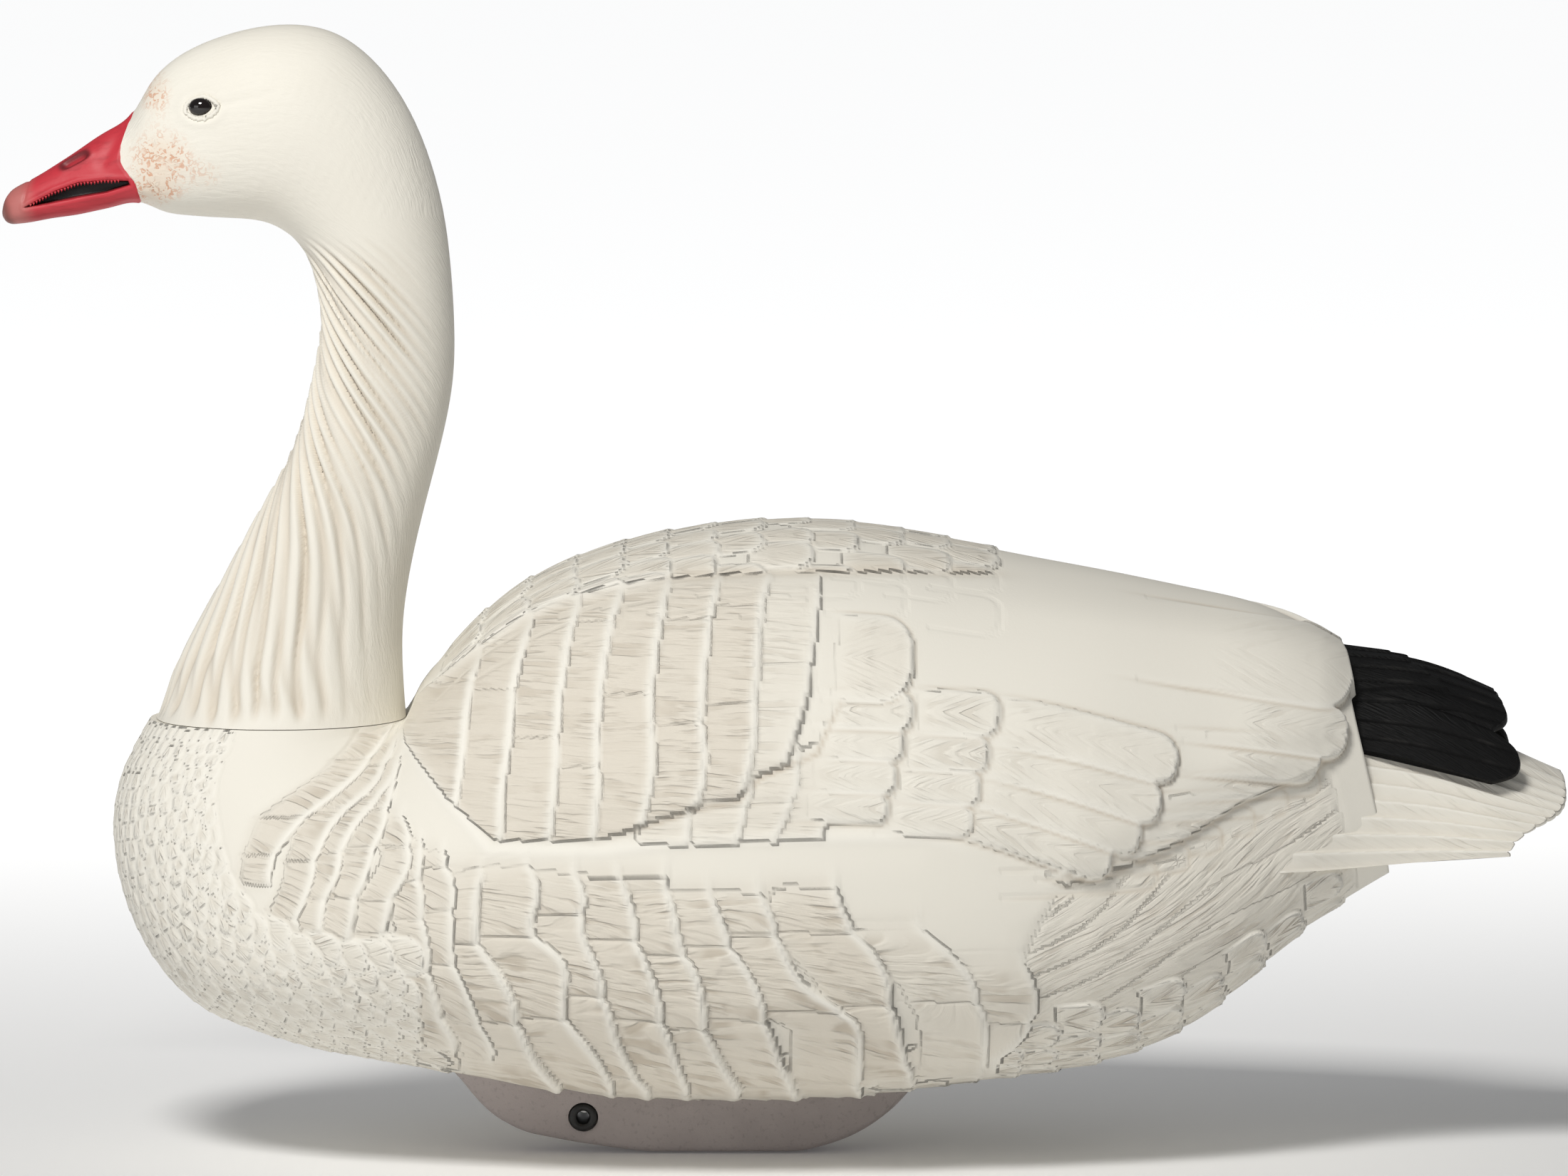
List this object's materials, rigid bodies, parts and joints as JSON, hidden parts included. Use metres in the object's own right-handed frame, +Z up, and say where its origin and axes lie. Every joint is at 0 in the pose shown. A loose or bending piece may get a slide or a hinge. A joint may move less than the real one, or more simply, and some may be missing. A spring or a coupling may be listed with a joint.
{
  "type": "goose decoy",
  "caption": "Floating snow goose decoy: hollow feathered body, removable head that turns in a round socket, ribbed tail, black wing tips and a weighted keel with an anchor-line hole.",
  "frame": {"origin": "on the ground, under the middle of the whole decoy's box", "axes": "+Z up, the bird faces -X, +Y is the bird's right side"},
  "size_m": [0.5728, 0.226, 0.4144],
  "materials": {
    "white_body": "matte cream-white paint over moulded feathers, beige in the hollows",
    "white_head": "matte cream-white paint, rust speckle on the face",
    "bill_red": "satin pink-red paint, black grin, pale tip",
    "wing_black": "matte black paint",
    "eye_dark": "glossy dark brown",
    "keel_grey": "mottled, grainy grey-mauve, unpainted",
    "line_black": "glossy black",
    "liner": "plain moulded off-white",
    "black_rubber": "dull black rubber",
    "ballast": "rough cast",
    "steel": "bright stainless",
    "brass": "turned brass"
  },
  "bodies": {
    "body": {"body_shell": "white_body", "tail_fan": "white_body", "primaries_left": "wing_black", "primaries_right": "wing_black", "keel_shell": "keel_grey", "line_bush": "line_black", "socket_cup": "liner", "keel_gasket": "black_rubber", "vent_plug": "black_rubber", "ballast_front": "ballast", "ballast_rear": "ballast", "keel_screw_front": "steel", "keel_washer_front": "steel", "keel_insert_front": "brass", "keel_screw_middle": "steel", "keel_washer_middle": "steel", "keel_insert_middle": "brass", "keel_screw_rear": "steel", "keel_washer_rear": "steel", "keel_insert_rear": "brass"},
    "seal": {"seal_ring": "black_rubber"},
    "head": {"head_neck": "white_head", "neck_spigot": "liner", "eye_left": "eye_dark", "eye_right": "eye_dark"}
  },
  "joints": [
    {"name": "head_lift", "type": "slide", "parent": "body", "child": "seal", "axis": [0, 0, 1], "range_m": [0, 0.06]},
    {"name": "head_turn", "type": "hinge", "parent": "seal", "child": "head", "pos_m": [-0.186, 0, 0.138], "axis": [0, 0, 1], "range_deg": [-90, 90]}
  ]
}
